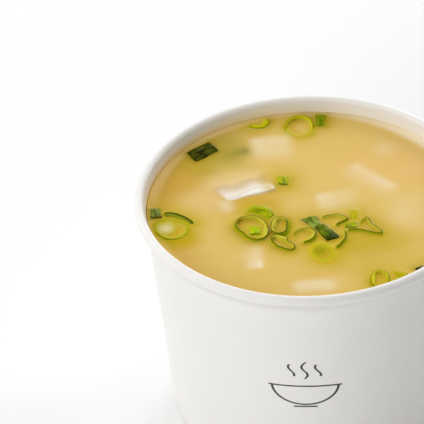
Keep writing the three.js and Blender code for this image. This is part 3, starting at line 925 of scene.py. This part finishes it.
# tofu
# the first cube has come up and stands out of the soup. film: how its right end and its near side are veiled
tofuCube = {
    "at": (-17.6, 9), "lift": -5.65, "turn": 18, "lean": (-11, -1.5), "size": (17, 11, 10),
    "pinch": 4,  # cut out of square at its near left corner
    "steps": 34, "seed": 3,
    "showing": 0.5, "sinking": 0.11,  # how much nearer the surface its near edge seems, less so further back
    "film": {"right": 0.9, "rightFades": (0.2, 0.4), "slant": 0.1, "near": 0.6, "nearFades": (-0.45, -0.05)},
}
sunkTofu = {  # depth: how far the top lies under the soup
    "sunk_far": {"at": (-9.3, 26.7), "size": (10.5, 10, 9), "turn": 8, "depth": 1.0, "lean": (3, 0)},
    "sunk_left": {"at": (-13.6, -21.6), "size": (9.6, 4.4, 9), "turn": 95, "depth": 0.75, "lean": (-8, 5)},
    "sunk_near": {"at": (1.0, -33.8), "size": (11, 5, 9), "turn": 5, "depth": 0.8, "lean": (2, 0)},
    "sunk_right": {"at": (17.0, 11.6), "size": (16, 6, 9), "turn": 134, "depth": 1.05, "lean": (-15, 0)},
    "sunk_middle": {"at": (7.2, 2.6), "size": (10.5, 7.5, 9), "turn": 15, "depth": 1.2, "lean": (4, 5)},
    "sunk_edge": {"at": (25.8, -3), "size": (13.5, 8, 9), "turn": 89, "depth": 1.9, "lean": (2, 2)},
    "sunk_small": {"at": (20.4, 24.5), "size": (6, 5, 7), "turn": 59, "depth": 1.5, "lean": (0, 3)},
    "crumb": {"at": (-21.3, 1), "size": (3.6, 5, 3), "turn": 14, "depth": 0.9},
}
sunkSteps, sunkSeed = 14, 20  # the seed of the first, and one more for each
tofuLook = {  # sunk: seen through soup. film: under a film of it
    **tones(curd=(244, 238, 226), cloud=(236, 226, 206), wet=(240, 224, 184)),
    **tones(sunk=(242, 230, 200), film=(224, 200, 148)),
    "round": 0.6, "uneven": ((5, 0.35, 0), (1.1, 0.1, 9)),  # size, depth and step of the seed
    "pits": 0.5, "clouds": 3.5, "cloudShare": 0.5,
    "wetFades": (-0.3, 0.35), "wetWander": 0.6, "wetShare": 0.4,
    "relief": 0.12, "bump": 0.5, "rough": 0.26, "rougher": 0.16,
}
sunkLeaf = {
    "kind": "dark", "at": (-19.4, 23.6), "lift": -1.5, "turn": 24, "lean": (6, -7),
    "size": (9.5, 4.4, 0.8), "curl": 0.8, "seed": 61, "lent": colour(96, 110, 40),
}


def tofuMesh(size, seed, steps):
    # a cube cut with a knife: flat sides, soft edges, small pits where curd broke away
    half, bend = np.array(size) / 2, tofuLook["round"]
    corners, index, faces = [], {}, []

    def corner(p):
        key = tuple(np.round(p, 6))
        if key not in index:
            index[key] = len(corners)
            core = np.clip(p, bend - half, half - bend)
            out = p - core
            reach = np.linalg.norm(out)
            corners.append(core + out / reach * bend if reach > 1e-9 else p)
        return index[key]

    cuts = np.sin(np.linspace(-math.pi / 2, math.pi / 2, steps + 1))
    for axis in range(3):
        a, b = (axis + 1) % 3, (axis + 2) % 3
        for side in (-1, 1):
            for i in range(steps):
                for j in range(steps):
                    face = []
                    for di, dj in ((0, 0), (1, 0), (1, 1), (0, 1))[::side]:
                        p = np.zeros(3)
                        p[axis] = side * half[axis]
                        p[a], p[b] = cuts[i + di] * half[a], cuts[j + dj] * half[b]
                        face.append(corner(p))
                    faces.append(tuple(face))
    corners = np.array(corners)
    shifts = [unevenness(corners, size, depth, seed + step) for size, depth, step in tofuLook["uneven"]]
    return corners + sum(shifts), faces


def tofuFinish():
    look = tofuLook
    tofu = Finish("tofu", IOR=1.38, Coat_Weight=0.1, Coat_Roughness=0.1, Coat_IOR=1.33)
    tofu.set(Subsurface_Weight=0.6, Subsurface_Scale=0.0015, Subsurface_Radius=(1, 0.8, 0.55))
    place = tofu.position()
    pits = tofu.noise(place, look["pits"], 3)
    clouds = tofu.noise(place, look["clouds"], 2)
    z = tofu.axes(place)[2]
    low, high = look["wetFades"]
    wet = 1 - tofu.fade(z + (clouds - 0.5) * look["wetWander"], soupLevel + low, soupLevel + high)
    tone = tofu.mix(clouds * look["cloudShare"], look["curd"], look["cloud"])
    tone = tofu.mix(wet * look["wetShare"], tone, look["wet"])
    tone = tofu.mix(tofu.attribute("film"), tone, look["film"])
    return tofu.dress(tone, pits, pits, look)


def makeTofu():
    finish = tofuFinish()
    corners, faces = tofuMesh(tofuCube["size"], tofuCube["seed"], tofuCube["steps"])
    length, width, _ = tofuCube["size"]
    x, y, film = corners[:, 0], corners[:, 1], tofuCube["film"]
    rightEnd = eased(ramped(x / length - film["slant"] * y / width, *film["rightFades"]))
    nearSide = ramped(-y - width / 2, *film["nearFades"])
    values = {"film": np.maximum(film["right"] * rightEnd, film["near"] * nearSide)}
    seemsNearer = tofuCube["showing"] - tofuCube["sinking"] * (y + width / 2)
    x += tofuCube["pinch"] * (0.5 - x / length) * (0.5 - y / width)
    corners = placed(corners, tofuCube)
    makePiece("tofu_cube", corners, faces, finish, "tofu", ["tofu_cube"], values)
    veiled = values["film"][np.array(faces)].mean(axis=1)[:, None]
    lent = (1 - veiled) * tofuLook["curd"][:3] + veiled * tofuLook["film"][:3]
    shapes = [(corners + seemsNearer[:, None] * (0, 0, 1), faces, lent)]
    for seed, (name, cube) in enumerate(sunkTofu.items(), sunkSeed):
        corners, faces = tofuMesh(cube["size"], seed, sunkSteps)
        corners = placed(corners, cube, -cube["depth"] - cube["size"][2] / 2)
        makePiece("tofu_" + name, corners, faces, finish, "tofu")
        shapes.append((corners, faces, evenTones(faces, tofuLook["sunk"])))
    return shapes


def makeSunkLeaf():
    # a piece of leaf that hangs wholly in the soup
    kind = sunkLeaf["kind"]
    corners, faces, values = leafMesh(sunkLeaf, sunkLeaf["seed"])
    corners = placed(corners, sunkLeaf)
    makePiece("leaf_sunk", corners, faces, leafFinishes[kind], kinds[kind]["slot"], values=values)
    return corners, faces, evenTones(faces, sunkLeaf["lent"])


tofuShapes = makeTofu()
leafShape = makeSunkLeaf()
print("tofu made:", len(tofuShapes), "cubes")


# the soup
soup = {
    "grid": 256, "bottom": 8.3, "lowerRound": 0.9, "neck": 1.5, "paperGap": 0.06, "sideGap": 0.02,
    "wallRise": 0.3, "wallReach": 1.0,  # how high and how far the soup creeps up the paper
    "pieceRise": 0.18, "pieceReach": 0.6,  # and up what floats in it
    "pieceBand": 0.25,  # what lies this near the soup's level is its waterline
}
soupLook = {
    **tones(lit=(223, 188, 104), shaded=(196, 150, 46), cloud=(228, 198, 126)),
    "billow": 11, "swirl": 3.2, "cloudFades": (0.3, 0.75), "cloudShare": 0.45, "swirlShare": 0.12,
}
sight = {  # what shows of the things in the soup
    "clarity": 1.05,  # depth at which they have faded to a third
    "spread": 1.5,  # how fast their outline blurs on the way down
    "looks": 72,
}
bleed = {  # how floating pieces tint the soup, close to them and further round
    "reach": (1.4, 4.5), "share": (0.8, 0.45), "tone": colour(202, 170, 26), "own": 0.4,
    "fades": (18, 30), "faded": 0.75,  # it fades by so much towards the far side, between these y
}
shade = {
    "depth": 1.2, "looks": 40, "grid": 80, "inset": 0.985, "reach": 60,
    "from": 110, "to": 220, "low": 12, "high": 62, "step": 0.618,  # degrees: where most light comes from
    "wallBelow": 12, "wallBend": 2, "wallSteps": 96,
}
shoreAndPaintedLight = {  # where thin soup meets the paper: paler from the thin soup, and painted light that lifts the shade in the corner against the paper
    **tones(pale=(236, 220, 188), gold=(244, 208, 132)),
    "right": (42, 32), "left": (180, 45),  # degrees round the cup: middle and width
    "reach": (1.4, 1.3, 1.2), "share": (0.36, 0.54, 0.2),  # all round, more at the right, more at the left
    "most": 1.5,
}
patchesAndShade = [  # where the soup has settled thicker or clearer, and painted shade in the ochre ones by the left wall and in front of the tofu cube: middle, half sizes, turn, tone and share
    # painted shade: the left wall keeps the light off the soup here
    ((-33.7, 12), (7, 14), -20, colour(196, 154, 52), 0.7),
    ((-23, 25.5), (11, 8), 25, colour(168, 152, 62), 0.75),
    # painted shade in front of the tofu cube's near side
    ((-15, 1.8), (9, 3.4), 12, colour(200, 158, 46), 0.6),
    ((-27.5, 3), (8, 6), 0, colour(226, 194, 134), 0.5),
    ((17, -22), (14, 7), 20, colour(203, 176, 66), 0.55),
    ((11, -16.5), (10, 4), 0, colour(194, 164, 36), 0.65),
    # painted shade by the left wall, under the pale slice
    ((-35.6, -11), (7.5, 5), -25, colour(194, 162, 0), 0.9),
    ((25, 17), (15, 10), 0, colour(230, 186, 114), 0.5),
]
patchAndShadeLook = {"drift": (7, 0.45, 5), "most": 1.25, "fall": 0.8}  # drift: size, depth and seed


def discGrid(count):
    # a square grid pressed into a disc of radius 1, so that its cells stay even
    a, b = np.meshgrid(np.linspace(-1, 1, count + 1), np.linspace(-1, 1, count + 1), indexing="ij")
    wide = np.abs(a) > np.abs(b)
    with np.errstate(divide="ignore", invalid="ignore"):
        radius = np.where(wide, a, b)
        angle = np.where(wide, math.pi / 4 * b / a, math.pi / 2 - math.pi / 4 * a / b)
    angle = np.where((a == 0) & (b == 0), 0, angle)
    return radius * np.cos(angle), radius * np.sin(angle)


def treeOf(shapes):
    corners, faces, lent, first = [], [], [], 0
    for points, polygons, colours in shapes:
        corners.extend(points.tolist())
        faces.extend([tuple(first + i for i in polygon) for polygon in polygons])
        lent.append(colours)
        first += len(points)
    return BVHTree.FromPolygons(corners, faces), np.concatenate(lent)


def lookDown(points, shapes):
    # what shows of the sunk things from above, paler and softer the deeper they lie: colour and share
    tree, lent = treeOf(shapes)
    turnStep = math.pi * (3 - math.sqrt(5))
    rays = []
    for k in range(sight["looks"]):
        slope = sight["spread"] * math.sqrt((k + 0.5) / sight["looks"])
        aim = Vector((slope * math.cos(k * turnStep), slope * math.sin(k * turnStep), -1))
        rays.append(aim.normalized())
    seen = np.zeros((len(points), 4))
    for index, point in enumerate(points):
        start = Vector(point)
        total = np.zeros(4)
        for ray in rays:
            _, normal, face, distance = tree.ray_cast(start, ray, soupLevel)
            if face is None:
                continue
            if normal.dot(ray) > 0:  # the point lies inside the piece
                distance, share = 0, 1
            else:  # the sides of a piece hardly show from above
                share = max(0, normal.z)
            share = share * math.exp(-distance * -ray.z / sight["clarity"])
            total[:3] += lent[face] * share
            total[3] += share
        seen[index] = total / len(rays)
    seen[:, :3] /= np.maximum(seen[:, 3:], 1e-6)
    return seen


def bleedOf(points):
    # how much the green of a floating piece tints the soup: colour and share
    tree, lent = treeOf(floatingShapes)
    wide = np.array(bleed["tone"][:3])
    tint = np.zeros((len(points), 4))
    tint[:, :3] = wide
    (nearReach, wideReach), (nearShare, wideShare) = bleed["reach"], bleed["share"]
    fading = 1 - bleed["faded"] * ramped(points[:, 1], *bleed["fades"])
    for index, point in enumerate(points):
        _, _, face, distance = tree.find_nearest(Vector(point), wideReach * 3)
        if face is not None:
            close = nearShare * math.exp(-distance / nearReach)
            far = wideShare * math.exp(-((distance / wideReach) ** 2)) * (1 - close) * fading[index]
            near = lent[face] * bleed["own"] + wide * (1 - bleed["own"])
            tint[index, :3] = (near * close + wide * far) / (close + far)
            tint[index, 3] = close + far
    return tint


def wallShape():
    # the paper over the soup, which keeps light from it
    profile = [(wallInside(z), z) for z in (soupLevel - shade["wallBelow"], cupHeight - shade["wallBend"])]
    corners, faces = turned([*profile, (rimRadius - cup["rimWidth"] / 2, cupHeight)], shade["wallSteps"])
    return np.array(corners), faces, np.zeros((len(faces), 3))


def shadeOf(x, y):
    # how much of the light is kept from the soup just under each point
    tree, _ = treeOf([*floatingShapes, tofuShapes[0], wallShape()])
    rays = []
    for k in range(shade["looks"]):
        around = math.radians(shade["from"] + (shade["to"] - shade["from"]) * (k * shade["step"] % 1))
        up = math.radians(shade["low"] + (shade["high"] - shade["low"]) * (k + 0.5) / shade["looks"])
        rays.append(Vector((math.cos(around) * math.cos(up), math.sin(around) * math.cos(up), math.sin(up))))
    kept = np.zeros(x.shape)
    for spot, (px, py) in enumerate(zip(x.ravel(), y.ravel())):
        start = Vector((px, py, soupLevel - shade["depth"]))
        hits = sum(tree.ray_cast(start, ray, shade["reach"])[0] is not None for ray in rays)
        kept.flat[spot] = hits / len(rays)
    return kept


def blurred(field, times):
    # each point takes a little of its neighbours
    for _ in range(times):
        wide = np.pad(field, ((1, 1), (1, 1)) + ((0, 0),) * (field.ndim - 2), mode="edge")
        field = wide[1:-1, 1:-1] * 2 + wide[:-2, 1:-1] + wide[2:, 1:-1] + wide[1:-1, :-2] + wide[1:-1, 2:]
        field = field / 6
    return field


def finer(field, count):
    # a coarse grid's values at the points of a finer one
    old = np.linspace(0, 1, field.shape[0])
    new = np.linspace(0, 1, count)
    wide = np.array([np.interp(new, old, row) for row in field])
    return np.array([np.interp(new, old, column) for column in wide.T]).T


def patchesAndShadeAt(x, y):
    # the patches, painted shade among them, laid over each other: colour and share
    tint = np.zeros((x.size, 4))
    places = np.stack([x.ravel(), y.ravel()], 1)
    drift = unevenness(np.column_stack([places, np.zeros(x.size)]), *patchAndShadeLook["drift"])[:, 0]
    for at, (long, wide), degrees, tone, most in patchesAndShade:
        away = places - at
        turn = math.radians(degrees)
        along = away @ (math.cos(turn), math.sin(turn)) / long
        across = away @ (-math.sin(turn), math.cos(turn)) / wide
        near = np.clip(patchAndShadeLook["most"] - np.hypot(along, across) * (1 + drift) * patchAndShadeLook["fall"], 0, 1)
        share = most * eased(near)
        total = tint[:, 3] + share - tint[:, 3] * share
        before = tint[:, :3] * (tint[:, 3] * (1 - share))[:, None]
        tint[:, :3] = (before + share[:, None] * tone[:3]) / np.maximum(total, 1e-6)[:, None]
        tint[:, 3] = total
    return tint


def shoreAndPaintedLightOf(x, y, fromWall):
    # how pale the soup is along the paper, partly painted light lifting the shade of the corner: palest at
    # the far right, golden at the left
    around = np.degrees(np.arctan2(y, x)).ravel()
    (rightAt, rightWidth), (leftAt, leftWidth) = shoreAndPaintedLight["right"], shoreAndPaintedLight["left"]
    right = np.exp(-(((around - rightAt) / rightWidth) ** 2))
    left = np.exp(-(((np.abs(around) - leftAt) / leftWidth) ** 2))
    parts = shoreAndPaintedLight["reach"], shoreAndPaintedLight["share"]
    reach, most = (base + atRight * right + atLeft * left for base, atRight, atLeft in parts)
    near = np.clip(shoreAndPaintedLight["most"] - fromWall.ravel() / reach, 0, 1)
    lent = (1 - left)[:, None] * shoreAndPaintedLight["pale"][:3] + left[:, None] * shoreAndPaintedLight["gold"][:3]
    return np.column_stack([lent, most * eased(near)])


def soupFinish():
    look = soupLook
    broth = Finish("broth", Roughness=0.25, IOR=1.33, Specular_IOR_Level=0.15)
    place = broth.position()
    billow = broth.noise(place, look["billow"], 3, 0.55)
    swirl = broth.noise(place, look["swirl"], 3, 0.5)
    clouds = broth.fade(billow, *look["cloudFades"]) * look["cloudShare"]
    tone = broth.mix(clouds, look["lit"], look["cloud"])
    tone = broth.mix(broth.attribute("shade") + (swirl - 0.5) * look["swirlShare"], tone, look["shaded"])
    # tints laid on in turn: the patches carry some painted shade, the shore some painted light
    for layer in ("patchesAndShade", "shoreAndPaintedLight", "bleed", "seen"):
        tone = broth.mix(broth.attribute(layer, outlet=3), tone, broth.attribute(layer, outlet=0))
    return broth.set(Base_Color=tone)


def surfaceHeights(x, y, fromWall):
    # the soup creeps up the paper and up the sides of what floats in it
    heights = soupLevel + soup["wallRise"] * np.exp(-fromWall / soup["wallReach"])
    points = np.concatenate([corners for corners, _, _ in floatingShapes])
    waterline = points[np.abs(points[:, 2] - soupLevel) < soup["pieceBand"]]
    near = KDTree(len(waterline))
    for index, point in enumerate(waterline):
        near.insert((point[0], point[1], 0), index)
    near.balance()
    gaps = np.array([near.find((px, py, 0))[2] for px, py in zip(x.ravel(), y.ravel())]).reshape(x.shape)
    return blurred(heights + soup["pieceRise"] * np.exp(-gaps / soup["pieceReach"]), 2)


def soupBody(surface, count):
    # the surface's square grid closed by rows down the paper and a flat underside
    faces = stripFaces(count + 1, count + 1, columnsClose=False)
    around = [i * (count + 1) for i in range(count)]
    around += [count * (count + 1) + j for j in range(count)]
    around += [(count - i) * (count + 1) + count for i in range(count)]
    around += [count - j for j in range(count)]
    outline = surface[around]
    radii = np.hypot(outline[:, 0], outline[:, 1])
    bottom, low, gap = soup["bottom"], soup["lowerRound"], soup["sideGap"]
    # a narrow first row keeps the surface's shading even up to the paper
    below = [(outline[:, 2], soupLevel, gap), (soupLevel - soup["neck"], soupLevel - soup["neck"], gap),
             (bottom + low, bottom + low, gap), (bottom, bottom + low, low)]
    previous, total = around, len(surface)
    layers = [surface]
    for level, wallLevel, inset in below:
        scale = (wallInside(wallLevel) - inset) / radii
        heights = np.zeros(len(around)) + level
        layers.append(np.stack([outline[:, 0] * scale, outline[:, 1] * scale, heights], 1))
        ring = list(range(total, total + len(around)))
        total += len(around)
        faces += [(previous[i], previous[i - 1], ring[i - 1], ring[i]) for i in range(len(around))]
        previous = ring
    faces.append(tuple(previous))
    return np.concatenate(layers), faces, around


def makeSoup():
    count = soup["grid"]
    edge = wallInside(soupLevel) - soup["paperGap"]
    unitX, unitY = discGrid(count)
    x, y = unitX * edge, unitY * edge
    fromWall = edge * (1 - np.hypot(unitX, unitY))
    surface = np.stack([x, y, surfaceHeights(x, y, fromWall)], 2).reshape(-1, 3)
    print("soup surface shaped")

    seen = lookDown(surface, [*floatingShapes, *tofuShapes, leafShape])
    seen = blurred(seen.reshape(count + 1, count + 1, 4), 1).reshape(-1, 4)
    print("sunk things looked up")
    coarseX, coarseY = (unit * edge * shade["inset"] for unit in discGrid(shade["grid"]))
    kept = finer(blurred(shadeOf(coarseX, coarseY), 1), count + 1)
    print("shade worked out")

    corners, faces, around = soupBody(surface, count)
    fields = {
        "seen": seen, "bleed": bleedOf(surface), "patchesAndShade": patchesAndShadeAt(x, y), "shade": kept.ravel(),
        "shoreAndPaintedLight": shoreAndPaintedLightOf(x, y, fromWall),
    }
    values = {}
    for label, field in fields.items():  # the first row down the paper takes the surface's outline on
        sides = np.zeros((len(corners) - len(surface) - len(around), *field.shape[1:]))
        values[label] = np.concatenate([field, field[around], sides])
    makePiece("soup", corners, faces, soupFinish(), "broth", ["broth"], values)


makeSoup()
print("soup made")
